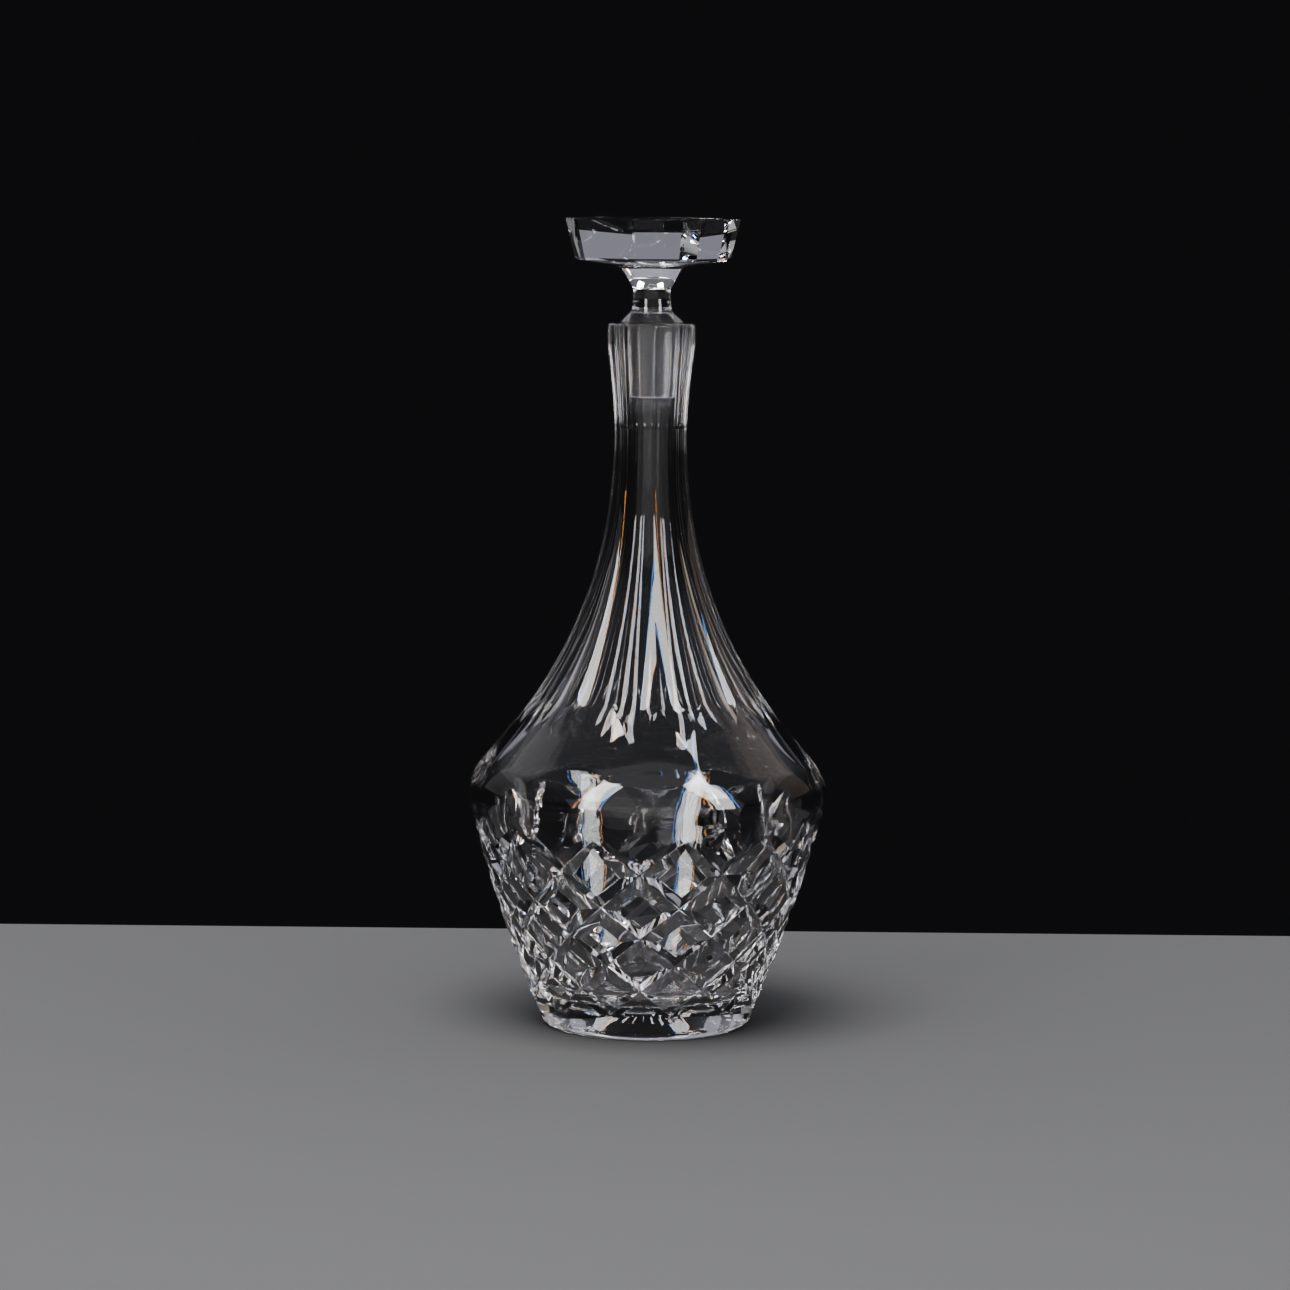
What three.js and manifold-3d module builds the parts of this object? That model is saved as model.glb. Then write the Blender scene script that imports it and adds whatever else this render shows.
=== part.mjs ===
// A cut crystal decanter: one thick-walled bottle and the one-piece stopper ground into its neck.
//
// Millimetres, +Z up. The origin is the middle of the foot, on the table; the axis of the glass is Z.
// The bottle is turned first as a plain blank. Hollow flutes are then cut down its neck and shoulder,
// and two families of mitre grooves are cut round its lower body, crossing to leave diamonds.

import * as THREE from 'three';
import { mergeVertices } from 'three/addons/utils/BufferGeometryUtils.js';
import Module from 'manifold-3d';

const wasm = await Module();
wasm.setup();

// ---- The bottle: heights above the table, and radii -------------------------------------------
const footRadius = 42.1;
const footEdgeHeight = 3;          // rounded edge round the foot
const footEdgeInset = 2.4;         // how far the ground ring is set in from that edge
const footEdgeTurn = 0.9;          // in from the side and up from the table, where the edge turns
const bodyHeight = 88.4;           // top of the leaning side, where it starts to round over
const bodyRadius = 70.5;
const sideBow = 6;                 // how far the line of the side is drawn out from straight
const bulgeRise = 16.8;            // from the top of the side to the foot of the shoulder
const bulgeInset = 4.4;
const bulgeCrown = 2.4;            // how far out the lines of side and shoulder meet
const bulgeCrownRise = 8.5;
const shoulderRun = 16.7;          // how far the shoulder runs on before it curves in
const shoulderSlope = 0.771;       // radius lost for each millimetre climbed, at its lower end
const neckRadius = 14.4;           // at the waist of the neck
const neckDrop = 44.2;             // from the mouth down to that waist
const neckCurve = 77.2;            // how far below the waist the neck starts to straighten
const mouthHeight = 279;
const mouthRadius = 17.3;
const mouthStraight = 9;           // straight top of the mouth, above the flare
const flareStart = 0.4;            // share of the way from waist to mouth that the neck stays upright
const lipRounding = 1.7;

// ---- The hollow inside ------------------------------------------------------------------------
const baseThickness = 12;
const sideWall = 8.5;              // behind the diamonds, so that the grooves keep glass under them
const shoulderWall = 6;
const floorRounding = 9;
const floorSpread = 1;             // how far the hollow's lower corner stands out past the foot's wall
const floorTurn = 2;               // how far in from that corner the rounding aims for the floor
const boreRadius = 9.2;            // the neck below the ground seat
const boreLength = 14;             // straight bore below the seat
const hollowCurve = 72;            // how far below the bore the hollow starts to straighten
const mouthBevel = 0.5;            // where the seat meets the lip
const mouthOpening = 1;            // the hollow's cutter stands this far out of the mouth
const recessRadius = 30;           // shallow ground hollow under the foot
const recessDepth = 0.8;

// ---- The stopper and its seat -----------------------------------------------------------------
const shankTopRadius = 11.2;
const shankLength = 28.7;
const shankTaper = 0.05;           // radius lost for each millimetre down: 1 in 10 on the diameter
const shankChamfer = 0.9;
const seatRoom = 11.3;             // ground seat below the end of the shank
const seatLedge = 1.2;             // height of the step from the seat down to the bore
const fitClearance = 0.3;          // round the shank, and under the collar
const collarOverhang = 1.1;        // how far the collar stands out past the shank
const collarEdge = 0.5;
const ringRadius = 8.4;
const ringHeight = 4.4;            // heights from here on are above the mouth
const waistRadius = 7.3;
const waistLowHeight = 8.2;
const waistHighHeight = 13.2;
const flareLowRadius = 7.9;
const flareLowHeight = 14.4;
const flareMiddleRadius = 9.5;
const flareMiddleHeight = 17.5;
const flareRadius = 12.2;
const flareHeight = 21.7;
const headSides = 8;
const headUnderRadius = 29.6;      // corner radii of the eight-sided head, from below
const headUnderHeight = 24.4;
const headLowRadius = 31.4;
const headLowHeight = 25.8;
const headTopRadius = 35.4;
const headTopBevel = 0.5;
const headHeight = 41;
const headTurn = -12;              // degrees; one corner of the head points this way

// ---- The cutting ------------------------------------------------------------------------------
const cutTurn = -17.5;             // degrees; a flute edge and a row of diamond corners lie here
const fluteCount = 16;
const fluteWheelRadius = 27;       // of the rounded rim of the wheel that hollows the flutes
const fluteTipRise = 14.4;         // from the foot of the shoulder up to the tips of the flutes
const fluteRunOut = 12.4;          // from the tips up to where neighbours first meet in an edge
const diamondsRound = 12;
const diamondRows = 6;             // steps between rows of corners
const diamondDrop = 5;             // from the top of the side down to the first corners
const diamondTopStep = 15;
const diamondStepRatio = 0.915;    // each row is this much shorter than the one above
const grooveDepth = 2.3;
const grooveHalfWidth = 4.1;
const runOutDepth = 0.12;          // what is left of a groove where it runs out
const grooveStandOff = 3;          // how far the wheel's section stands out of the glass

const columns = 48;                // a multiple of the flutes and of the diamonds' half widths
const hollowColumns = 24;
const spindleColumns = 32;
const degrees = Math.PI / 180;

// Angle zero faces -Y and grows towards +X.
function onAxisCircle(radius, angle, height) {
  return new THREE.Vector3(radius * Math.sin(angle), -radius * Math.cos(angle), height);
}

function crystal(name, roughness) {
  return new THREE.MeshStandardMaterial({
    name, color: 0xe9edf0, roughness, metalness: 0, transparent: true, opacity: 0.45,
  });
}

function quadratic(start, reach, end, steps) {
  const curve = new THREE.QuadraticBezierCurve(start, reach, end);
  return curve.getPoints(steps);
}

function point(radius, height) {
  return new THREE.Vector2(radius, height);
}

// ---- Outlines ---------------------------------------------------------------------------------
const shoulderHeight = bodyHeight + bulgeRise;
const neckHeight = mouthHeight - neckDrop;
const seatBottom = mouthHeight - shankLength - seatRoom;
const shoulderLine = point(-shoulderSlope, 1).normalize().multiplyScalar(shoulderRun);

function seatRadius(height) {
  return shankTopRadius + fitClearance - shankTaper * (mouthHeight - height);
}

// The side, the rounding over the widest part, and the crown between them, set in by a wall.
function sideReach(wall) {
  return point((footRadius + bodyRadius) / 2 + sideBow - wall, (footEdgeHeight + bodyHeight) / 2 + sideBow);
}

function bulge(sideTop, shoulderFoot, wall, steps) {
  const crown = point(bodyRadius + bulgeCrown - wall, bodyHeight + bulgeCrownRise);
  return quadratic(sideTop, crown, shoulderFoot, steps);
}

function bottleOutside() {
  const footEdge = point(footRadius, footEdgeHeight);
  const sideTop = point(bodyRadius, bodyHeight);
  const shoulderFoot = point(bodyRadius - bulgeInset, shoulderHeight);
  const waist = point(neckRadius, neckHeight);
  const mouthFoot = point(mouthRadius, mouthHeight - mouthStraight);
  const shoulder = new THREE.CubicBezierCurve(
    shoulderFoot, shoulderFoot.clone().add(shoulderLine), point(neckRadius, neckHeight - neckCurve), waist);
  const flareReach = point(neckRadius, THREE.MathUtils.lerp(neckHeight, mouthFoot.y, flareStart));
  return [
    point(footRadius - footEdgeInset, 0),
    point(footRadius - footEdgeTurn, footEdgeTurn),
    ...quadratic(footEdge, sideReach(0), sideTop, 4),
    ...bulge(sideTop, shoulderFoot, 0, 4).slice(1),
    ...shoulder.getPoints(12).slice(1),
    ...quadratic(waist, flareReach, mouthFoot, 3).slice(1),
    ...quadratic(
      point(mouthRadius, mouthHeight - lipRounding),
      point(mouthRadius, mouthHeight),
      point(mouthRadius - lipRounding, mouthHeight), 2),
  ];
}

// The hollow, from the middle of its floor up to just above the mouth.
function bottleInside() {
  const sideFoot = point(footRadius + floorSpread - sideWall / 2, baseThickness + floorRounding);
  const sideTop = point(bodyRadius - sideWall, bodyHeight);
  const domeTop = point(bodyRadius - bulgeInset - shoulderWall, shoulderHeight - shoulderWall / 2);
  const boreFoot = point(boreRadius, seatBottom - boreLength);
  const throat = new THREE.CubicBezierCurve(
    domeTop, domeTop.clone().add(shoulderLine), point(boreRadius, boreFoot.y - hollowCurve), boreFoot);
  const mouthEdge = seatRadius(mouthHeight) + mouthBevel;
  return [
    point(0, baseThickness),
    ...quadratic(
      point(sideFoot.x - floorRounding, baseThickness),
      point(sideFoot.x - floorTurn, baseThickness),
      sideFoot, 2),
    ...quadratic(sideFoot, sideReach(sideWall), sideTop, 3).slice(1),
    ...bulge(sideTop, domeTop, sideWall, 3).slice(1),
    ...throat.getPoints(7).slice(1),
    point(boreRadius, seatBottom - seatLedge),
    point(seatRadius(seatBottom), seatBottom),
    point(seatRadius(mouthHeight - 2 * mouthBevel), mouthHeight - 2 * mouthBevel),
    point(mouthEdge, mouthHeight),
    point(mouthEdge + mouthOpening, mouthHeight + mouthOpening),
    point(0, mouthHeight + mouthOpening),
  ];
}

function recess() {
  return [
    point(0, recessDepth),
    point(recessRadius - recessDepth * 2, recessDepth),
    point(recessRadius, 0),
  ];
}

// ---- Solids -----------------------------------------------------------------------------------
function turned(outline, sides, turn) {
  const geometry = new THREE.LatheGeometry(outline, sides);
  geometry.rotateX(Math.PI / 2);
  geometry.rotateZ(turn * degrees);
  return bare(geometry);
}

// Keeps positions only, with shared corners merged, as a boolean needs.
function bare(geometry) {
  geometry.deleteAttribute('normal');
  geometry.deleteAttribute('uv');
  return mergeVertices(geometry, 1e-4);
}

function toSolid(geometry) {
  return new wasm.Manifold(new wasm.Mesh({
    numProp: 3,
    vertProperties: new Float32Array(geometry.attributes.position.array),
    triVerts: new Uint32Array(geometry.index.array),
  }));
}

function toGeometry(solid) {
  const mesh = solid.getMesh();
  const geometry = new THREE.BufferGeometry();
  geometry.setAttribute('position', new THREE.BufferAttribute(mesh.vertProperties, 3));
  geometry.setIndex(new THREE.BufferAttribute(mesh.triVerts, 1));
  geometry.computeVertexNormals();
  return geometry;
}

// Hollows the blank between the flute edges. The wheel lifts off towards the tips, so there each
// flute gets shallower with the square of the distance, and narrower in step.
function cutFlutes(blank) {
  const fluteTips = shoulderHeight + fluteTipRise;
  const halfWidth = Math.PI / fluteCount;
  const position = blank.attributes.position;
  for (let i = 0; i < position.count; i += 1) {
    const x = position.getX(i);
    const y = position.getY(i);
    const radius = Math.hypot(x, y);
    const angle = Math.atan2(x, -y) - cutTurn * degrees;
    const fromMiddle = angle - (Math.floor(angle / halfWidth / 2) + 0.5) * 2 * halfWidth;
    const share = THREE.MathUtils.clamp((position.getZ(i) - fluteTips) / fluteRunOut, 0, 1);
    const bow = (halfWidth * share) ** 2 - fromMiddle ** 2;
    if (bow > 1e-4) {
      const kept = 1 - bow * (1 + radius / fluteWheelRadius) / 2;
      position.setXY(i, x * kept, y * kept);
    }
  }
  return blank;
}

const outside = bottleOutside();

function outsideRadius(height) {
  for (let i = 1; i < outside.length; i += 1) {
    const low = outside[i - 1];
    const high = outside[i];
    if (height <= high.y) {
      const share = (height - low.y) / Math.max(high.y - low.y, 1e-6);
      return THREE.MathUtils.lerp(low.x, high.x, THREE.MathUtils.clamp(share, 0, 1));
    }
  }
  return mouthRadius;
}

// A corner of the diamond pattern, at the root of the grooves that cross there.
function diamondCorner(row, column) {
  const ratioSum = (1 - diamondStepRatio ** row) / (1 - diamondStepRatio);
  const height = bodyHeight - diamondDrop - diamondTopStep * ratioSum;
  const atEnd = row <= 0 || row >= diamondRows;
  const radius = outsideRadius(height) - (atEnd ? runOutDepth : grooveDepth);
  return onAxisCircle(radius, (cutTurn + column * 180 / diamondsRound) * degrees, height);
}

// One whole groove: a bar of V section, bent round the glass through a corner on every row.
function groove(firstColumn, side) {
  const reach = grooveDepth + grooveStandOff;
  const half = reach * grooveHalfWidth / grooveDepth;
  const section = new THREE.Shape([point(0, 0), point(half, reach), point(-half, reach)]);
  const bar = new THREE.ExtrudeGeometry(section, {
    depth: diamondRows, steps: diamondRows, bevelEnabled: false,
  });
  const corner = (row) => diamondCorner(row, firstColumn + side * row);
  const position = bar.attributes.position;
  for (let i = 0; i < position.count; i += 1) {
    const row = Math.round(position.getZ(i));
    const root = corner(row);
    const along = corner(row + 1).sub(corner(row - 1)).normalize();
    const outward = root.clone().setZ(0).normalize();
    outward.addScaledVector(along, -outward.dot(along)).normalize();
    const across = new THREE.Vector3().crossVectors(outward, along);
    root.addScaledVector(across, position.getX(i)).addScaledVector(outward, position.getY(i));
    position.setXYZ(i, root.x, root.y, root.z);
  }
  return toSolid(bare(bar));
}

function cutDiamonds(blank) {
  const grooves = [];
  for (let column = 0; column < 2 * diamondsRound; column += 2) {
    grooves.push(groove(column, 1), groove(column, -1));
  }
  return blank.subtract(grooves.reduce((joined, next) => joined.add(next)));
}

function decanterBody() {
  const outline = [...recess(), ...outside, point(0, mouthHeight)];
  const blank = cutFlutes(turned(outline, columns, cutTurn - 90));
  const hollow = turned(bottleInside(), hollowColumns, cutTurn - 90);
  const bottle = toSolid(blank).subtract(toSolid(hollow));
  return new THREE.Mesh(toGeometry(cutDiamonds(bottle)), crystal('cut crystal', 0.03));
}

function stopper() {
  const shankBottomRadius = shankTopRadius - shankTaper * shankLength;
  const spindle = turned([
    point(0, -shankLength),
    point(shankBottomRadius - shankChamfer, -shankLength),
    point(shankBottomRadius, shankChamfer - shankLength),
    point(shankTopRadius, fitClearance),
    point(shankTopRadius + collarOverhang, fitClearance),
    point(shankTopRadius + collarOverhang, fitClearance + collarEdge),
    point(ringRadius, ringHeight),
    point(waistRadius, waistLowHeight),
    point(waistRadius, waistHighHeight),
    point(flareLowRadius, flareLowHeight),
    point(flareMiddleRadius, flareMiddleHeight),
    point(flareRadius, flareHeight),
    point(flareRadius, headLowHeight),
    point(0, headLowHeight),
  ], spindleColumns, 0);
  const head = turned([
    point(0, flareHeight),
    point(flareRadius, flareHeight),
    point(headUnderRadius, headUnderHeight),
    point(headLowRadius, headLowHeight),
    point(headTopRadius, headHeight - headTopBevel),
    point(headTopRadius - headTopBevel, headHeight),
    point(0, headHeight),
  ], headSides, headTurn - 90);
  const solid = toSolid(spindle).add(toSolid(head));
  return new THREE.Mesh(toGeometry(solid), crystal('ground crystal', 0.12));
}

const decanter = new THREE.Group();

const body = decanterBody();
body.name = 'decanter_body';
decanter.add(body);

const plug = stopper();
plug.name = 'stopper';
plug.position.z = mouthHeight;
decanter.add(plug);

export default decanter;
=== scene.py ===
import math

import bmesh
import bpy
import numpy as np
from mathutils import Matrix, Vector


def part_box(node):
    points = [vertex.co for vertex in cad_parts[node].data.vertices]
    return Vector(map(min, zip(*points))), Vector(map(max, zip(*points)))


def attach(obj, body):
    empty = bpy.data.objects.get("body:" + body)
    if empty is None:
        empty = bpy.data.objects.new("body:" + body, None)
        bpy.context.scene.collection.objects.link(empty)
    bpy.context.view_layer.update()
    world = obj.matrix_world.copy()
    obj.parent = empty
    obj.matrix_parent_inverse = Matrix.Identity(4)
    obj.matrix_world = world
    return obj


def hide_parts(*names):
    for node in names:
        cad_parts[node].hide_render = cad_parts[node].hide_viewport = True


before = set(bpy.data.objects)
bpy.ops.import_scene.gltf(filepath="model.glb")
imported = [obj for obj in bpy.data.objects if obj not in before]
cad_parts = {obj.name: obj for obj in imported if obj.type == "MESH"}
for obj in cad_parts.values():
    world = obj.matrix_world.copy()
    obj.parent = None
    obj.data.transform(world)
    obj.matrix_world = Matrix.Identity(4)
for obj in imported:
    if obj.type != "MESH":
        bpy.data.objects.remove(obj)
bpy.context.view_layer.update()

scene = bpy.context.scene


# The room: a camera 1.7 m away, a little above the stopper, a pale table, dark walls under a paler
# ceiling, and tall soft lamps. None of it belongs to the decanter.
CAMERA_DISTANCE = 1.69
CAMERA_HEIGHT = 0.347
CAMERA_TILT = math.radians(-6.6)
CAMERA_ROLL = math.radians(0.54)
CAMERA_PAN = math.radians(0.05)
FOCAL_LENGTH = 119.6

camera_data = bpy.data.cameras.new("camera")
camera_data.lens = FOCAL_LENGTH
camera = bpy.data.objects.new("camera", camera_data)
camera.matrix_world = (
    Matrix.Translation((0, -CAMERA_DISTANCE, CAMERA_HEIGHT))
    @ Matrix.Rotation(CAMERA_PAN, 4, "Z")
    @ Matrix.Rotation(math.pi / 2 + CAMERA_TILT, 4, "X")
    @ Matrix.Rotation(CAMERA_ROLL, 4, "Z")
)
scene.collection.objects.link(camera)
scene.camera = camera


class Shader:
    """One material's node tree. add() makes a node from its type, settings and socket values."""

    def __init__(self, name):
        self.material = bpy.data.materials.new(name)
        self.material.use_nodes = True
        self.tree = self.material.node_tree
        self.tree.nodes.clear()

    def add(self, kind, settings=None, **sockets):
        node = self.tree.nodes.new(kind)
        for key, value in (settings or {}).items():
            setattr(node, key, value)
        for key, value in sockets.items():
            name = key.replace("_", " ")
            socket = node.inputs[int(key[1:])] if key[0] == "i" and key[1:].isdigit() else node.inputs[name]
            if isinstance(value, Signal):
                self.tree.links.new(value.socket, socket)
            elif isinstance(value, bpy.types.NodeSocket):
                self.tree.links.new(value, socket)
            else:
                socket.default_value = value
        return node

    def split(self, place):
        """The three numbers of a place."""
        node = self.add("ShaderNodeSeparateXYZ", Vector=place)
        return tuple(Signal(self, node.outputs[k]) for k in range(3))

    def finish(self, surface):
        self.add("ShaderNodeOutputMaterial", Surface=surface.outputs[0])
        return self.material


class Signal:
    """A number that changes over the surface. Operators on it add Math nodes."""

    def __init__(self, shader, socket):
        self.shader = shader
        self.socket = socket

    def math(self, operation, *others):
        node = self.shader.add("ShaderNodeMath", {"operation": operation}, i0=self)
        for index, other in enumerate(others, 1):
            if isinstance(other, Signal):
                self.shader.tree.links.new(other.socket, node.inputs[index])
            else:
                node.inputs[index].default_value = other
        return Signal(self.shader, node.outputs[0])

    def __add__(self, other):
        return self.math("ADD", other)

    def __sub__(self, other):
        return self.math("SUBTRACT", other)

    def __rsub__(self, other):
        return (self * -1) + other

    def __mul__(self, other):
        return self.math("MULTIPLY", other)

    __radd__ = __add__
    __rmul__ = __mul__

    def between(self, low, high):
        """0 below low, 1 above high, smooth in between."""
        node = self.shader.add(
            "ShaderNodeMapRange", {"interpolation_type": "SMOOTHSTEP"},
            Value=self, From_Min=low, From_Max=high)
        return Signal(self.shader, node.outputs[0])


def plain_surface(name, colour, roughness):
    shader = Shader(name)
    return shader.finish(shader.add(
        "ShaderNodeBsdfPrincipled", Base_Color=(*colour, 1), Roughness=roughness))


def flat_sheet(name, corners, material):
    mesh = bpy.data.meshes.new(name)
    mesh.from_pydata(corners, [], [range(len(corners))])
    mesh.materials.append(material)
    sheet = bpy.data.objects.new(name, mesh)
    scene.collection.objects.link(sheet)
    return sheet


TABLE_FRONT = -0.75
TABLE_BACK = 0.20
TABLE_SIDE = 0.9
TABLE_COLOUR = (0.62, 0.62, 0.61)
TABLE_ROUGHNESS = 0.5
table_corners = [(-TABLE_SIDE, TABLE_FRONT, 0), (TABLE_SIDE, TABLE_FRONT, 0),
                 (TABLE_SIDE, TABLE_BACK, 0), (-TABLE_SIDE, TABLE_BACK, 0)]
table = flat_sheet("table", table_corners, plain_surface("pale table", TABLE_COLOUR, TABLE_ROUGHNESS))
table.visible_transmission = False
table.visible_glossy = False

# What the glass sees in place of the pale table is a sheet of painted shade. It is dark round the foot and
# fades out to the table's own colour, so that the cutting stands out. There is no dark cloth on the table,
# and the camera never sees the sheet. It has a faint painted glow, so that the glass isn't black from above.
PAINTED_SHADE_COLOUR = (0.14, 0.14, 0.14)
PAINTED_SHADE_WITHIN = 0.12
PAINTED_SHADE_GONE_BEYOND = 0.45
PAINTED_GLOW = 0.03
shade_sheet_nodes = Shader("painted shade for the glass")
shade_sheet_place = shade_sheet_nodes.add("ShaderNodeTexCoord")
shade_sheet_x, shade_sheet_y = shade_sheet_nodes.split(shade_sheet_place.outputs["Object"])[:2]
from_foot = (shade_sheet_x * shade_sheet_x + shade_sheet_y * shade_sheet_y).math("SQRT")
painted_shade_mix = shade_sheet_nodes.add(
    "ShaderNodeMix", {"data_type": "RGBA"}, Factor=from_foot.between(PAINTED_SHADE_WITHIN, PAINTED_SHADE_GONE_BEYOND),
    A=(*PAINTED_SHADE_COLOUR, 1), B=(*TABLE_COLOUR, 1))
# The sheet of painted shade with a faint painted glow, which only the glass sees.
painted_shade_sheet = flat_sheet("painted_shade_sheet", table_corners, shade_sheet_nodes.finish(shade_sheet_nodes.add(
    "ShaderNodeBsdfPrincipled", Base_Color=painted_shade_mix.outputs["Result"], Roughness=TABLE_ROUGHNESS,
    Emission_Color=(1, 1, 1, 1), Emission_Strength=PAINTED_GLOW)))
painted_shade_sheet.visible_camera = False
painted_shade_sheet.visible_diffuse = False
painted_shade_sheet.visible_shadow = False

WALL_COLOUR = (0.010, 0.010, 0.011)
CEILING_COLOUR = (0.16, 0.16, 0.18)
WALL_ENDS = math.radians(14)
CEILING_STARTS = math.radians(28)
world = bpy.data.worlds.new("room")
world.use_nodes = True
sky = world.node_tree
direction = sky.nodes.new("ShaderNodeTexCoord")
height_of = sky.nodes.new("ShaderNodeSeparateXYZ")
wall_to_ceiling = sky.nodes.new("ShaderNodeMapRange")
wall_to_ceiling.interpolation_type = "SMOOTHSTEP"
wall_to_ceiling.inputs["From Min"].default_value = math.sin(WALL_ENDS)
wall_to_ceiling.inputs["From Max"].default_value = math.sin(CEILING_STARTS)
shade = sky.nodes.new("ShaderNodeMix")
shade.data_type = "RGBA"
shade.inputs["A"].default_value = (*WALL_COLOUR, 1)
shade.inputs["B"].default_value = (*CEILING_COLOUR, 1)
sky.links.new(direction.outputs["Generated"], height_of.inputs[0])
sky.links.new(height_of.outputs["Z"], wall_to_ceiling.inputs["Value"])
sky.links.new(wall_to_ceiling.outputs[0], shade.inputs["Factor"])
sky.links.new(shade.outputs["Result"], sky.nodes["Background"].inputs["Color"])
scene.world = world

glass_only = bpy.data.collections.new("glass")
table_only = bpy.data.collections.new("table")
table_only.objects.link(table)
table_only.objects.link(painted_shade_sheet)

LAMP_AIM = Vector((0, 0, 0.14))


def lamp(name, azimuth, elevation, distance, width, height, power, receivers, colour=(1, 1, 1)):
    """A soft box that faces the bottle, off camera. Azimuth 0 is in front and 90 is to the right."""
    light = bpy.data.lights.new(name, "AREA")
    light.shape = "RECTANGLE"
    light.size = width
    light.size_y = height
    light.energy = power
    light.color = colour
    lamp_object = bpy.data.objects.new(name, light)
    turn = math.radians(azimuth)
    rise = math.radians(elevation)
    level = math.cos(rise)
    outward = Vector((math.sin(turn) * level, -math.cos(turn) * level, math.sin(rise)))
    facing = outward.to_track_quat("Z", "Y").to_matrix().to_4x4()
    lamp_object.matrix_world = Matrix.Translation(LAMP_AIM + outward * distance) @ facing
    scene.collection.objects.link(lamp_object)
    lamp_object.light_linking.receiver_collection = receivers
    lamp_object.visible_camera = False


SOFTBOX_WIDTH = 0.36
SOFTBOX_HEIGHT = 1.55
SOFTBOX_ELEVATION = 35.5
SOFTBOX_DISTANCE = 1.5
SOFTBOX_POWER = 19
EDGE_WIDTH = 0.03
WARM_EDGE = (1.0, 0.42, 0.10)
COOL_EDGE = (0.12, 0.38, 1.0)
# Lead crystal splits white light, so a warm and a cool edge on each soft box stand for its fire.
edge_power = SOFTBOX_POWER * EDGE_WIDTH / SOFTBOX_WIDTH
edge_reach = math.degrees((SOFTBOX_WIDTH + EDGE_WIDTH) / 2 / SOFTBOX_DISTANCE)
edge_turn = edge_reach / math.cos(math.radians(SOFTBOX_ELEVATION))
for side, azimuth in (("left", -38), ("right", 51)):
    for part, turn, width, power, colour in (
        ("softbox", 0, SOFTBOX_WIDTH, SOFTBOX_POWER, (1, 1, 1)),
        ("warm", -edge_turn, EDGE_WIDTH, edge_power, WARM_EDGE),
        ("cool", edge_turn, EDGE_WIDTH, edge_power, COOL_EDGE),
    ):
        lamp(side + "_" + part, azimuth + turn, SOFTBOX_ELEVATION, SOFTBOX_DISTANCE, width, SOFTBOX_HEIGHT,
             power, glass_only, colour)
lamp("top_softbox", 0, 88.5, 1.3, 0.30, 0.30, 1.2, glass_only)
lamp("back_wall", 180, 38, 1.8, 2.5, 1.4, 2.7, glass_only, (0.86, 0.84, 1.0))
lamp("left_rim", -118, 26, 1.8, 0.8, 1.3, 0.8, glass_only)
lamp("right_rim", 118, 26, 1.8, 0.8, 1.3, 0.9, glass_only, (1.0, 0.82, 0.68))
lamp("front_wall", 0, 2, 3.0, 5.0, 2.2, 14, glass_only)
lamp("table_softbox", -20, 70, 1.5, 1.0, 1.0, 7.0, table_only)

scene.cycles.caustics_refractive = False
scene.cycles.caustics_reflective = False
scene.cycles.max_bounces = 32
scene.cycles.transmission_bounces = 32
scene.cycles.glossy_bounces = 16
scene.view_settings.view_transform = "AgX"
scene.view_settings.look = "AgX - Medium High Contrast"


# The bottle is blown thick from lead crystal. Its outline is turned about the upright axis. Heights
# are above the table, and the mouth's height and the stopper's size come from the frame.
MOUTH_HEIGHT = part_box("decanter_body")[1][2]
FOOT_RADIUS = 0.0421
FOOT_EDGE = 0.0028
RECESS_RADIUS = 0.030
RECESS_DEPTH = 0.0008
BODY_HEIGHT = 0.0884
BODY_RADIUS = 0.0705
SIDE_BOW = 0.006
BULGE_RISE = 0.0168
BULGE_INSET = 0.0044
BULGE_CROWN = (0.0024, 0.0085)
SHOULDER_RUN = 0.0167
SHOULDER_SLOPE = 0.771
NECK_RADIUS = 0.0144
NECK_HEIGHT = MOUTH_HEIGHT - 0.0442
NECK_CURVE = 0.0772
MOUTH_RADIUS = 0.0173
MOUTH_STRAIGHT = 0.009
FLARE_START = 0.4
LIP_ROUNDING = 0.0017


def bezier(points, steps=120):
    """A smooth curve from the first point to the last, drawn towards those between."""
    share = np.linspace(0, 1, steps + 1)[:, None, None]
    layer = np.array(points, float)[None]
    while layer.shape[1] > 1:
        layer = layer[:, :-1] * (1 - share) + layer[:, 1:] * share
    return layer[:, 0]


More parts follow.
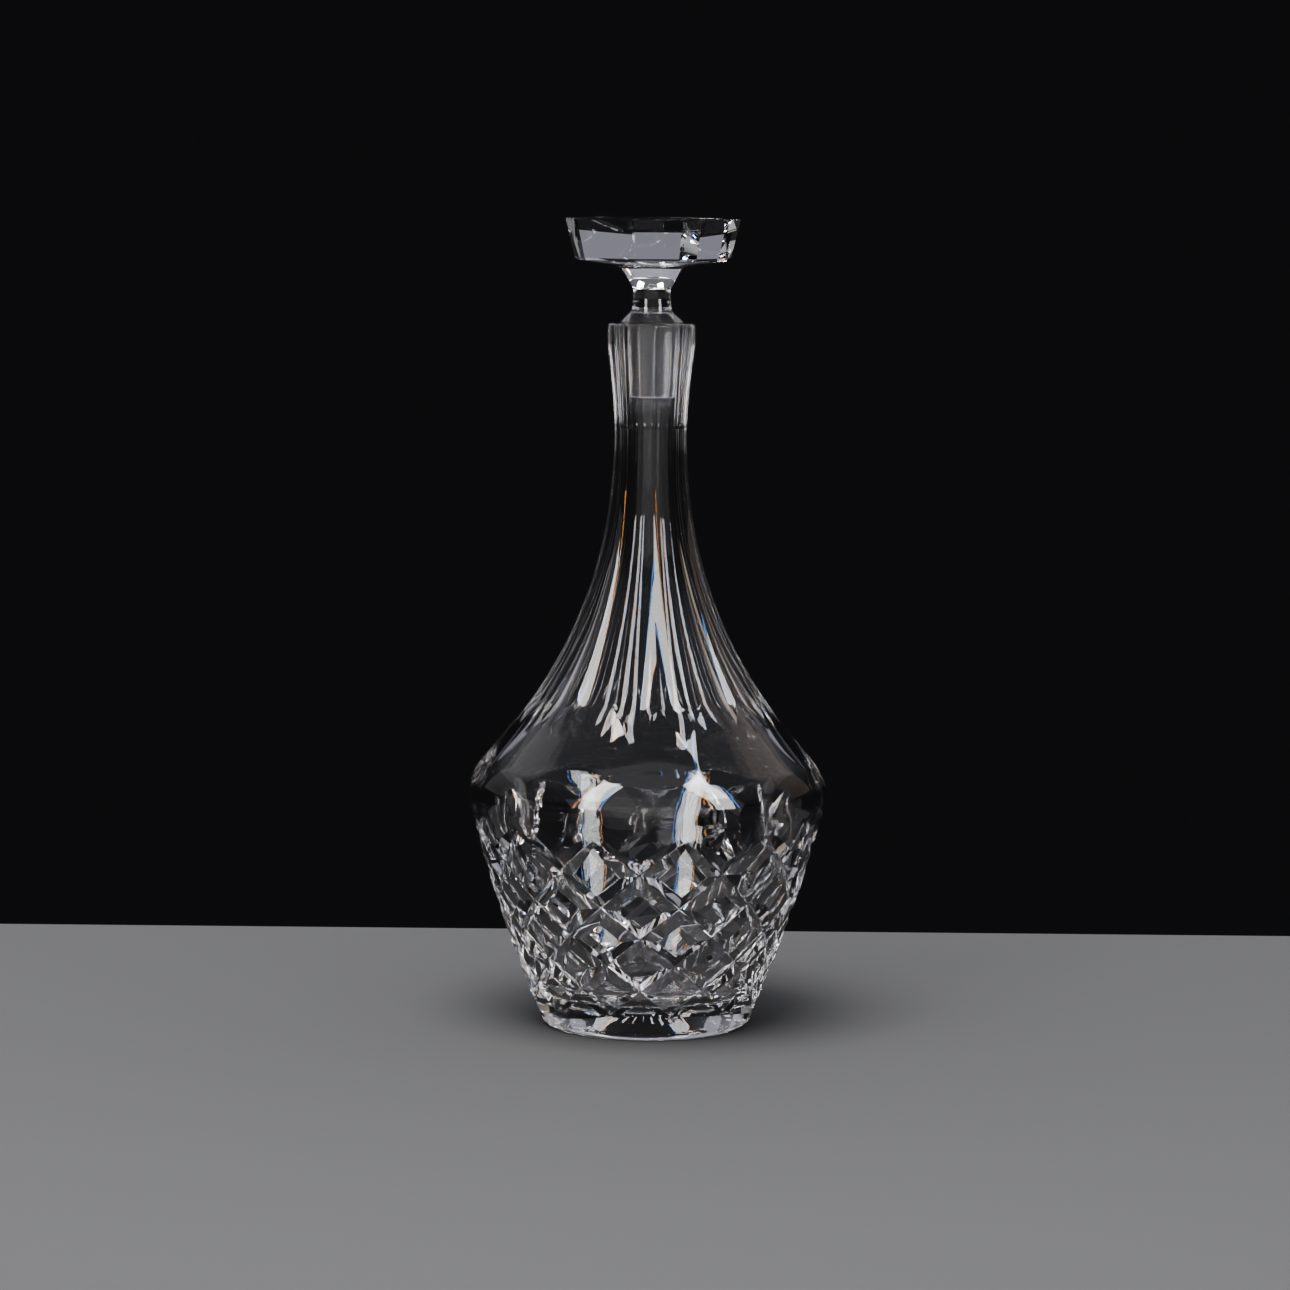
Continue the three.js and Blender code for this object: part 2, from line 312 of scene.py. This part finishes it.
class Outline:
    """A line of (radius, height) points, measured by the length along it."""

    def __init__(self, *curves):
        line = np.concatenate([np.asarray(c, float) for c in curves])
        step = np.linalg.norm(np.diff(line, axis=0), axis=1)
        keep = np.concatenate([[True], step > 1e-9])
        self.line = line[keep]
        step = np.linalg.norm(np.diff(self.line, axis=0), axis=1)
        self.length = np.concatenate([[0], np.cumsum(step)])

    def at(self, length):
        return np.stack([np.interp(length, self.length, self.line[:, k]) for k in (0, 1)], axis=-1)

    def outward(self, length):
        """The direction to the right of the line, which is out of the glass on the way up its outside."""
        reach = 2e-4
        ahead = self.at(np.asarray(length) + reach) - self.at(np.asarray(length) - reach)
        ahead /= np.linalg.norm(ahead, axis=-1, keepdims=True)
        return np.stack([ahead[..., 1], -ahead[..., 0]], axis=-1)

    def length_at_height(self, height):
        return np.interp(height, self.line[:, 1], self.length)

    def stations(self, start, end, longest, sharpest=math.radians(4)):
        """Lengths from start to end, close enough that no step is longer, or turns more, than that."""
        fine = np.linspace(start, end, 600)
        points = self.at(fine)
        step = np.diff(points, axis=0)
        heading = np.unwrap(np.arctan2(step[:, 1], step[:, 0]))
        turning = np.abs(np.gradient(heading))
        cost = np.linalg.norm(step, axis=1) / longest + turning / sharpest
        total = np.concatenate([[0], np.cumsum(cost)])
        count = max(1, math.ceil(total[-1]))
        return np.interp(np.linspace(0, total[-1], count + 1), total, fine)


side_foot = (FOOT_RADIUS, FOOT_EDGE)
side_top = (BODY_RADIUS, BODY_HEIGHT)
side_reach = np.array([(FOOT_RADIUS + BODY_RADIUS) / 2, (FOOT_EDGE + BODY_HEIGHT) / 2]) + SIDE_BOW
shoulder_foot = (BODY_RADIUS - BULGE_INSET, BODY_HEIGHT + BULGE_RISE)
shoulder_line = np.array([-SHOULDER_SLOPE, 1])
shoulder_line *= SHOULDER_RUN / np.linalg.norm(shoulder_line)
crown = (BODY_RADIUS + BULGE_CROWN[0], BODY_HEIGHT + BULGE_CROWN[1])
waist = (NECK_RADIUS, NECK_HEIGHT)
mouth_foot = (MOUTH_RADIUS, MOUTH_HEIGHT - MOUTH_STRAIGHT)
flare_reach = (NECK_RADIUS, NECK_HEIGHT + FLARE_START * (mouth_foot[1] - NECK_HEIGHT))
shoulder_reach = (NECK_RADIUS, NECK_HEIGHT - NECK_CURVE)
outside = Outline(
    bezier([side_foot, side_reach, side_top]),
    bezier([side_top, crown, shoulder_foot]),
    bezier([shoulder_foot, shoulder_foot + shoulder_line, shoulder_reach, waist], 300),
    bezier([waist, flare_reach, mouth_foot]),
    [(MOUTH_RADIUS, MOUTH_HEIGHT - LIP_ROUNDING)],
)


# The cutting. Sixteen hollow flutes run from the lip down to pointed tips on the shoulder, and two
# families of mitre grooves cross on the side to leave diamonds. Both repeat four times in a turn.
CUT_TURN = math.radians(-17.5)
QUARTERS = 4
QUARTER = 2 * math.pi / QUARTERS
FLUTES = 16
FLUTE_WHEEL = 0.027
FLUTE_TIP_HEIGHT = BODY_HEIGHT + BULGE_RISE + 0.0144
FLUTE_MEET_HEIGHT = FLUTE_TIP_HEIGHT + 0.0124
BELOW_TIPS = 0.004
ABOVE_MEET = 0.006
DIAMONDS = 12
DIAMOND_ROWS = 6
DIAMOND_TOP = BODY_HEIGHT - 0.005
DIAMOND_STEP = 0.015
DIAMOND_RATIO = 0.915
GROOVE_WIDTH = 0.23
GROOVE_SLOPE = 0.53
BAND_STOPS = (0.0, 0.05, 0.95, 1.0)
BAND_DEPTHS = (1.0, 0.995, 0.02, 0.0)
TABLE_STEPS = 10
NARROWEST = 0.004
WELD = 2e-6

flute_width = 2 * math.pi / FLUTES
half_cell = math.pi / DIAMONDS
columns = DIAMONDS // QUARTERS * (2 * (len(BAND_STOPS) - 1) + TABLE_STEPS)
even_angles = np.linspace(0, QUARTER, columns + 1)


def round_axis(radius, angle, height):
    """Points at an angle from the front, which is -Y, towards +X."""
    radius, angle, height = np.broadcast_arrays(radius, angle, height)
    turned = angle + CUT_TURN
    return np.stack([radius * np.sin(turned), -radius * np.cos(turned), height], axis=-1)


class Sheets:
    """Collects grids of points and their faces into one mesh."""

    def __init__(self):
        self.points = []
        self.faces = []
        self.count = 0

    def grid(self, points):
        rows, cols = points.shape[:2]
        index = np.arange(rows * cols).reshape(rows, cols) + self.count
        self.points.append(points.reshape(-1, 3))
        self.count += rows * cols
        for i in range(rows - 1):
            for j in range(cols - 1):
                self.faces.append((index[i, j], index[i, j + 1], index[i + 1, j + 1], index[i + 1, j]))

    def patch(self, points, faces):
        self.points.append(points)
        self.faces += [tuple(v + self.count for v in face) for face in faces]
        self.count += len(points)

    def mesh(self, name):
        data = bpy.data.meshes.new(name)
        data.from_pydata(np.concatenate(self.points).tolist(), [], self.faces)
        work = bmesh.new()
        work.from_mesh(data)
        bmesh.ops.remove_doubles(work, verts=work.verts, dist=WELD)
        work.to_mesh(data)
        work.free()
        return data


def run_out(row):
    """How much of a groove is left at a row: it lifts off smoothly at the first and last rows."""
    row = np.asarray(row, float)
    from_end = np.clip(np.minimum(row, DIAMOND_ROWS - row), 0, 1)
    return 1 - (1 - from_end) ** 2


def groove_width(row):
    return np.maximum(GROOVE_WIDTH * run_out(row), NARROWEST)


def row_height(row):
    return DIAMOND_TOP - DIAMOND_STEP * (1 - DIAMOND_RATIO ** row) / (1 - DIAMOND_RATIO)


def groove_depth(row):
    """Depth at the root, from the width of the groove in metres and the slope of its walls."""
    radius = outside.at(outside.length_at_height(row_height(row)))[..., 0]
    across = 2 * half_cell * radius
    down = 2 * DIAMOND_STEP * DIAMOND_RATIO ** row
    pitch = across * down / np.hypot(across, down)
    return pitch * GROOVE_WIDTH * GROOVE_SLOPE * run_out(row)


def band_places(near, far):
    """Where the lines of a cell lie from 0 to 1, for the widths of the grooves on its two sides."""
    stops = np.array(BAND_STOPS)
    table = np.linspace(0, 1, TABLE_STEPS + 1)[1:-1]
    near, far = np.broadcast_arrays(near, far)
    near, far = near[..., None], far[..., None]
    return np.concatenate([near * stops, near + (1 - near - far) * table, 1 - far * stops[::-1]], axis=-1)


def diamond(row, column, sheets):
    """One diamond with half of each groove round it, or the part of one inside the zigzag border."""
    band = len(BAND_STOPS) - 1
    steps = 2 * band + TABLE_STEPS
    plain = band_places(GROOVE_WIDTH, GROOVE_WIDTH)
    down_left = band_places(groove_width(row + plain), groove_width(row + 1 + plain))
    down_right = down_left.T
    here = row + down_right + down_left
    depth_share = np.array(BAND_DEPTHS + (0.0,) * (TABLE_STEPS - 1) + BAND_DEPTHS[::-1])
    line_depth = groove_depth(here)
    depth = np.maximum(depth_share[:, None], depth_share[None, :]) * line_depth
    angle = (column + down_right - down_left) * half_cell
    length = outside.length_at_height(row_height(here))
    place = outside.at(length) - outside.outward(length) * depth[..., None]
    points = round_axis(place[..., 0], angle, place[..., 1]).reshape(-1, 3)
    index = np.arange((steps + 1) ** 2).reshape(steps + 1, steps + 1)
    faces = []
    for i in range(steps):
        for j in range(steps):
            corners = [index[i, j], index[i, j + 1], index[i + 1, j + 1], index[i + 1, j]]
            side = i + j + 1 - steps
            in_corner = (i < band or i >= steps - band) and (j < band or j >= steps - band)
            if (row < 0 and side < 0) or (row > DIAMOND_ROWS - 2 and side > 0):
                continue
            if side == 0 and row < 0:
                faces.append((corners[1], corners[2], corners[3]))
            elif side == 0 and row > DIAMOND_ROWS - 2:
                faces.append((corners[0], corners[1], corners[3]))
            elif in_corner and side == 0:
                faces += [(corners[0], corners[1], corners[3]), (corners[1], corners[2], corners[3])]
            elif in_corner and i == j:
                faces += [(corners[0], corners[1], corners[2]), (corners[0], corners[2], corners[3])]
            else:
                faces.append(tuple(corners))
    sheets.patch(points, faces)
    border = [index[i, steps - i] for i in range(steps + 1)]
    return angle.reshape(-1)[border], length.reshape(-1)[border]


bottle_quarter = Sheets()
borders = {}
for row in range(-1, DIAMOND_ROWS):
    first = row % 2
    edge = [diamond(row, column, bottle_quarter) for column in range(first, 2 * DIAMONDS // QUARTERS, 2)]
    if row in (-1, DIAMOND_ROWS - 1):
        # Each piece of border runs from its left corner to its right one.
        borders[row] = [np.concatenate([e[k][:-1] for e in edge[:-1]] + [edge[-1][k]]) for k in (0, 1)]
top_angles, top_lengths = borders[-1]
low_angles, low_lengths = borders[DIAMOND_ROWS - 1]


# The uncut band over the diamonds, and the fluted shoulder and neck above it. The rows of the mesh
# bend from the zigzag border to level rings, and then follow the arched tips of the flutes.
def flute_share(length):
    """0 at the tips of the flutes, 1 where neighbours meet in an edge."""
    return np.clip((length - tip_length) / (meet_length - tip_length), 0, 1)


def flute_depth(angle, radius, share):
    from_middle = (angle % flute_width) - flute_width / 2
    bow = (share * flute_width / 2) ** 2 - from_middle ** 2
    return np.maximum(bow, 0) * radius * (1 + radius / FLUTE_WHEEL) / 2


def rows_between(start, end, steps):
    share = np.linspace(0, 1, steps + 1)[:, None]
    return start * (1 - share) + end * share


tip_length = outside.length_at_height(FLUTE_TIP_HEIGHT)
meet_length = outside.length_at_height(FLUTE_MEET_HEIGHT)
lip_length = outside.length[-1]
from_edge = 1 - np.abs((even_angles % flute_width) / (flute_width / 2) - 1)
arch = meet_length + (tip_length - meet_length) * from_edge
band_top = outside.length_at_height(FLUTE_TIP_HEIGHT - BELOW_TIPS)
flute_low = outside.length_at_height(FLUTE_MEET_HEIGHT + ABOVE_MEET)

band = outside.stations(outside.length_at_height(DIAMOND_TOP), band_top, 0.0025)
share = ((band - band[0]) / (band[-1] - band[0]))[:, None]
band_rows = top_lengths * (1 - share) + band_top * share
band_angles = top_angles * (1 - share) + even_angles * share
arch_rows = rows_between(np.full_like(arch, band_top), arch, 5)
foot_rows = rows_between(arch, np.full_like(arch, flute_low), 8)
neck = outside.stations(flute_low, lip_length, 0.003)
neck_rows = np.repeat(neck[:, None], columns + 1, axis=1)


def outside_grid(lengths, angles, fluted):
    place = outside.at(lengths)
    if fluted:
        depth = flute_depth(angles, place[..., 0], flute_share(lengths))
        place = place - outside.outward(lengths) * depth[..., None]
    return round_axis(place[..., 0], angles, place[..., 1])


bottle_quarter.grid(outside_grid(band_rows, band_angles, False)[::-1])
bottle_quarter.grid(outside_grid(arch_rows, even_angles, False)[::-1])
bottle_quarter.grid(outside_grid(foot_rows, even_angles, True)[::-1])
bottle_quarter.grid(outside_grid(neck_rows, even_angles, True)[::-1])


# The hollow follows the outside at the wall's thickness, and narrows to the bore and the ground seat
# that the stopper fits. Its line runs from the bore down to the middle of the floor.
BASE_THICKNESS = 0.012
SIDE_WALL = 0.0085
SHOULDER_WALL = 0.006
FLOOR_ROUNDING = 0.009
BORE_RADIUS = 0.0092
BORE_LENGTH = 0.014
HOLLOW_CURVE = 0.072
SEAT_LENGTH = 0.040
SEAT_TAPER = 0.05
SEAT_TOP_RADIUS = 0.0115
SEAT_LEDGE = 0.0012
MOUTH_BEVEL = 0.0005

seat_bottom = MOUTH_HEIGHT - SEAT_LENGTH
seat_low_radius = SEAT_TOP_RADIUS - SEAT_TAPER * SEAT_LENGTH
floor_side = np.array([FOOT_RADIUS + 0.001 - SIDE_WALL / 2, BASE_THICKNESS + FLOOR_ROUNDING])
inner_side_top = np.array([BODY_RADIUS - SIDE_WALL, BODY_HEIGHT])
dome_top = np.array([BODY_RADIUS - BULGE_INSET - SHOULDER_WALL,
                     BODY_HEIGHT + BULGE_RISE - SHOULDER_WALL / 2])
dome_reach = (crown[0] - SIDE_WALL, crown[1] - SHOULDER_WALL / 4)
bore_foot = np.array([BORE_RADIUS, seat_bottom - BORE_LENGTH])
lip = bezier([(MOUTH_RADIUS, MOUTH_HEIGHT - LIP_ROUNDING), (MOUTH_RADIUS, MOUTH_HEIGHT),
              (MOUTH_RADIUS - LIP_ROUNDING, MOUTH_HEIGHT)], 8)
lip_flat = (SEAT_TOP_RADIUS + MOUTH_BEVEL, MOUTH_HEIGHT)
seat_top = (SEAT_TOP_RADIUS - SEAT_TAPER * MOUTH_BEVEL, MOUTH_HEIGHT - MOUTH_BEVEL)
floor_reach = (floor_side[0] - 0.002, BASE_THICKNESS)
floor_edge = (floor_side[0] - FLOOR_ROUNDING, BASE_THICKNESS)
hollow = Outline(
    bezier([bore_foot, (BORE_RADIUS, bore_foot[1] - HOLLOW_CURVE), dome_top + shoulder_line, dome_top], 300),
    bezier([dome_top, dome_reach, inner_side_top]),
    bezier([inner_side_top, side_reach - (SIDE_WALL, 0), floor_side]),
    bezier([floor_side, floor_reach, floor_edge]),
    [(0, BASE_THICKNESS)],
)


def turned_grid(line):
    line = np.asarray(line, float)
    return round_axis(line[:, :1], even_angles[None], line[:, 1:])


# The lip keeps the scallop of the flutes on its outer edge and fades to a true circle inside.
lip_fade = np.linspace(1, 0.4, len(lip))[:, None]
lip_depth = flute_depth(even_angles[None], MOUTH_RADIUS, 1.0) * lip_fade
bottle_quarter.grid(round_axis(lip[:, :1] - lip_depth, even_angles[None], lip[:, 1:])[::-1])
lip_inside = lip[-1:, :1] - lip_depth[-1:]
lip_share = np.linspace(0, 1, 4)[:, None]
bottle_quarter.grid(round_axis(
    lip_inside * (1 - lip_share) + lip_flat[0] * lip_share, even_angles[None], MOUTH_HEIGHT)[::-1])
bottle_quarter.grid(turned_grid([lip_flat, seat_top])[::-1])
bottle_quarter.grid(turned_grid(np.linspace(seat_top, (seat_low_radius, seat_bottom), 13))[::-1])
bottle_quarter.grid(turned_grid([
    (seat_low_radius, seat_bottom), (BORE_RADIUS, seat_bottom - SEAT_LEDGE)])[::-1])
bottle_quarter.grid(turned_grid(np.linspace((BORE_RADIUS, seat_bottom - SEAT_LEDGE), bore_foot, 10))[::-1])
hollow_stations = hollow.stations(0, hollow.length[-1], 0.0035, math.radians(5))
bottle_quarter.grid(turned_grid(hollow.at(hollow_stations))[::-1])

# The plain band at the foot, the rounded edge, the ring that it stands on, and the shallow recess.
foot_share = np.linspace(0, 1, 6)[:, None]
bottle_quarter.grid(outside_grid(
    low_lengths * (1 - foot_share), low_angles * (1 - foot_share) + even_angles * foot_share, False))
foot_corner = (FOOT_RADIUS - 0.0009, 0.0009)
foot_edge = np.concatenate([
    bezier([side_foot, (FOOT_RADIUS - 0.0003, 0.0018), foot_corner], 4),
    bezier([foot_corner, (FOOT_RADIUS - 0.0014, 0.0001), (FOOT_RADIUS - 0.0024, 0)], 5)[1:],
])
ring_inner = (RECESS_RADIUS, 0)
recess_edge = (RECESS_RADIUS - 2 * RECESS_DEPTH, RECESS_DEPTH)
bottle_quarter.grid(turned_grid(foot_edge))
bottle_quarter.grid(turned_grid(np.linspace(foot_edge[-1], ring_inner, 4)))
bottle_quarter.grid(turned_grid([ring_inner, recess_edge]))
bottle_quarter.grid(turned_grid(np.linspace(recess_edge, (0, RECESS_DEPTH), 8)))


SHARP_EDGE = math.radians(9)


def repeated_round(sector, copies, material, name):
    """Repeats one sector about the upright axis with Geometry Nodes, and joins it into one solid."""
    tree = bpy.data.node_groups.new(name + "_repeat", "GeometryNodeTree")
    face = tree.interface
    face.new_socket("Sector", in_out="INPUT", socket_type="NodeSocketGeometry")
    face.new_socket("Copies", in_out="INPUT", socket_type="NodeSocketInt")
    face.new_socket("Glass", in_out="INPUT", socket_type="NodeSocketMaterial")
    face.new_socket("Solid", in_out="OUTPUT", socket_type="NodeSocketGeometry")
    nodes, links = tree.nodes, tree.links
    given = nodes.new("NodeGroupInput")
    points = nodes.new("GeometryNodePoints")
    index = nodes.new("GeometryNodeInputIndex")
    fraction = nodes.new("ShaderNodeMath")
    fraction.operation = "DIVIDE"
    turn = nodes.new("ShaderNodeMath")
    turn.operation = "MULTIPLY"
    turn.inputs[1].default_value = 2 * math.pi
    about = nodes.new("ShaderNodeCombineXYZ")
    place = nodes.new("GeometryNodeInstanceOnPoints")
    real = nodes.new("GeometryNodeRealizeInstances")
    paint = nodes.new("GeometryNodeSetMaterial")
    result = nodes.new("NodeGroupOutput")
    for start, end in (
        (given.outputs["Copies"], points.inputs["Count"]),
        (index.outputs[0], fraction.inputs[0]),
        (given.outputs["Copies"], fraction.inputs[1]),
        (fraction.outputs[0], turn.inputs[0]),
        (turn.outputs[0], about.inputs["Z"]),
        (points.outputs[0], place.inputs["Points"]),
        (given.outputs["Sector"], place.inputs["Instance"]),
        (about.outputs[0], place.inputs["Rotation"]),
        (place.outputs[0], real.inputs[0]),
        (real.outputs[0], paint.inputs["Geometry"]),
        (given.outputs["Glass"], paint.inputs["Material"]),
        (paint.outputs[0], result.inputs[0]),
    ):
        links.new(start, end)
    seed = bpy.data.objects.new(name + "_sector", sector)
    scene.collection.objects.link(seed)
    repeat = seed.modifiers.new("repeat", "NODES")
    repeat.node_group = tree
    sockets = {item.name: item.identifier for item in face.items_tree if item.in_out == "INPUT"}
    repeat[sockets["Copies"]] = copies
    repeat[sockets["Glass"]] = material
    graph = bpy.context.evaluated_depsgraph_get()
    mesh = bpy.data.meshes.new_from_object(seed.evaluated_get(graph))
    bpy.data.objects.remove(seed)
    work = bmesh.new()
    work.from_mesh(mesh)
    bmesh.ops.remove_doubles(work, verts=work.verts, dist=WELD)
    bmesh.ops.recalc_face_normals(work, faces=work.faces)
    work.to_mesh(mesh)
    work.free()
    mesh.name = name
    mesh.shade_smooth()
    mesh.set_sharp_from_angle(angle=SHARP_EDGE)
    piece = bpy.data.objects.new(name, mesh)
    scene.collection.objects.link(piece)
    return piece


# Lead crystal bends light strongly. Where the shank meets the seat both are ground, which leaves them
# slightly rough. The ground part ends at the mouth and just outside the radius of the seat.
CRYSTAL_INDEX = 1.545
GROUND_ROUGHNESS = 0.16
GROUND_RADIUS = 0.0119
GROUND_FADE = 0.0002


def crystal(name, ground_low, ground_full, ground_high):
    """Clear glass, ground from ground_full up to ground_high, and fading in from ground_low."""
    shader = Shader(name)
    place = shader.add("ShaderNodeTexCoord")
    x, y, z = shader.split(place.outputs["Object"])
    radius = (x * x + y * y).math("SQRT")
    ground = z.between(ground_low, ground_full) * (1 - z.between(ground_high, ground_high + GROUND_FADE))
    ground = ground * (1 - radius.between(GROUND_RADIUS, GROUND_RADIUS + GROUND_FADE))
    return shader.finish(shader.add(
        "ShaderNodeBsdfPrincipled", Base_Color=(1, 1, 1, 1), Roughness=ground * GROUND_ROUGHNESS,
        IOR=CRYSTAL_INDEX, Transmission_Weight=1.0))


bottle_glass = crystal(
    "cut_crystal", seat_bottom - 0.012, seat_bottom + 0.016, MOUTH_HEIGHT - MOUTH_BEVEL)
bottle = repeated_round(bottle_quarter.mesh("bottle_quarter"), QUARTERS, bottle_glass, "bottle")

# The blown inside is never quite true: it swells and dips by up to 0.15 mm, in two slow waves that run
# round and up the wall and die out among the tips of the flutes.
WAVE = 0.00009
WAVE_INSIDE = 0.0038
WAVE_TOP = FLUTE_TIP_HEIGHT + 0.02
WAVE_FADE = 0.03
points = np.empty(len(bottle.data.vertices) * 3)
bottle.data.vertices.foreach_get("co", points)
points = points.reshape(-1, 3)
wide = np.hypot(points[:, 0], points[:, 1])
round_about = np.arctan2(points[:, 1], points[:, 0])
outer = np.interp(points[:, 2], outside.line[:, 1], outside.line[:, 0])
rise = points[:, 2]
inside = (wide < outer - WAVE_INSIDE) & (rise > BASE_THICKNESS) & (rise < bore_foot[1])
fade = np.clip((WAVE_TOP - rise) / WAVE_FADE, 0, 1) * inside
swell = np.sin(7 * round_about + 150 * rise) + 0.7 * np.sin(11 * round_about - 230 * rise + 1)
points[:, :2] *= (1 + WAVE * swell * fade / np.maximum(wide, 0.001))[:, None]
bottle.data.vertices.foreach_set("co", points.ravel())
bottle.data.update()
glass_only.objects.link(bottle)
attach(bottle, "decanter")
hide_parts("decanter_body")


# The stopper is pressed in one piece and cut: an eight-sided head, a drawn-in stem, a collar with a
# crisp edge, and a tapered shank that is ground to fit its seat. Heights here are above the mouth.
stopper_low, stopper_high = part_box("stopper")
HEAD_SIDES = 8
HEAD_TURN = math.radians(-12)
SHANK_LENGTH = MOUTH_HEIGHT - stopper_low[2]
HEAD_HEIGHT = stopper_high[2] - MOUTH_HEIGHT
SHANK_TOP_RADIUS = 0.0112
COLLAR_RADIUS = 0.0123
SEAT_GAP = 0.0003
spindle = Outline(  # radius and height, from the middle of the shank's end up to the head
    [(0, -SHANK_LENGTH)],
    bezier([(0.0090, -SHANK_LENGTH), (0.0097, -SHANK_LENGTH), (0.0098, -SHANK_LENGTH + 0.0008)], 4),
    [(SHANK_TOP_RADIUS, SEAT_GAP), (COLLAR_RADIUS, SEAT_GAP), (COLLAR_RADIUS, SEAT_GAP + 0.0004)],
    bezier([(0.0121, 0.0009), (0.0100, 0.0028), (0.0086, 0.0041)], 6),
    bezier([(0.0085, 0.0043), (0.0084, 0.0046), (0.0082, 0.0048)], 3),
    bezier([(0.0082, 0.0048), (0.0072, 0.0072), (0.0072, 0.0130), (0.0076, 0.0140)], 14),
    bezier([(0.0079, 0.0143), (0.0088, 0.0158), (0.0100, 0.0185), (0.0122, 0.0215)], 10),
    bezier([(0.0122, 0.0215), (0.0135, 0.0226), (0.0160, 0.0228)], 6),
)
HEAD_LINE = (  # corner radius and height, from the underside up and in to the middle of the top
    (0.0160, 0.0228), (0.0300, 0.0246), (0.0306, 0.0249), (0.0314, 0.0258), (0.0351, HEAD_HEIGHT - 0.0004),
    (0.0350, HEAD_HEIGHT), (0.0343, HEAD_HEIGHT), (0, HEAD_HEIGHT),
)
HEAD_STEP = 0.003
SIDE_COLUMNS = 12
side_angles = np.linspace(0, 2 * math.pi / HEAD_SIDES, SIDE_COLUMNS + 1)
facet_shape = math.cos(math.pi / HEAD_SIDES) / np.cos(side_angles - math.pi / HEAD_SIDES)
stopper_eighth = Sheets()


def stopper_grid(radius, height, eight_sided):
    """Rings from round, at 0, to eight flat sides, at 1."""
    radius, height, eight_sided = (np.asarray(v, float)[:, None] for v in (radius, height, eight_sided))
    shape = 1 + (facet_shape[None] - 1) * eight_sided
    turned = side_angles[None] + HEAD_TURN
    wide = radius * shape
    rise = np.broadcast_to(height + MOUTH_HEIGHT, wide.shape)
    return np.stack([wide * np.sin(turned), -wide * np.cos(turned), rise], axis=-1)


stopper_eighth.grid(stopper_grid(spindle.line[:, 0], spindle.line[:, 1], np.zeros(len(spindle.line))))
for (low_r, low_z), (high_r, high_z) in zip(HEAD_LINE[:-1], HEAD_LINE[1:]):
    steps = max(1, math.ceil(math.hypot(high_r - low_r, high_z - low_z) / HEAD_STEP))
    share = np.linspace(0, 1, steps + 1)
    round_to_flat = share if (low_r, low_z) == HEAD_LINE[0] else np.ones(steps + 1)
    radii = low_r + (high_r - low_r) * share
    heights = low_z + (high_z - low_z) * share
    stopper_eighth.grid(stopper_grid(radii, heights, round_to_flat))

shank_foot = MOUTH_HEIGHT - SHANK_LENGTH
stopper_glass = crystal("stopper_crystal", shank_foot + 0.0006, shank_foot + 0.001, MOUTH_HEIGHT)
stopper = repeated_round(stopper_eighth.mesh("stopper_eighth"), HEAD_SIDES, stopper_glass, "stopper_piece")
glass_only.objects.link(stopper)
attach(stopper, "stopper")
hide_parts("stopper")
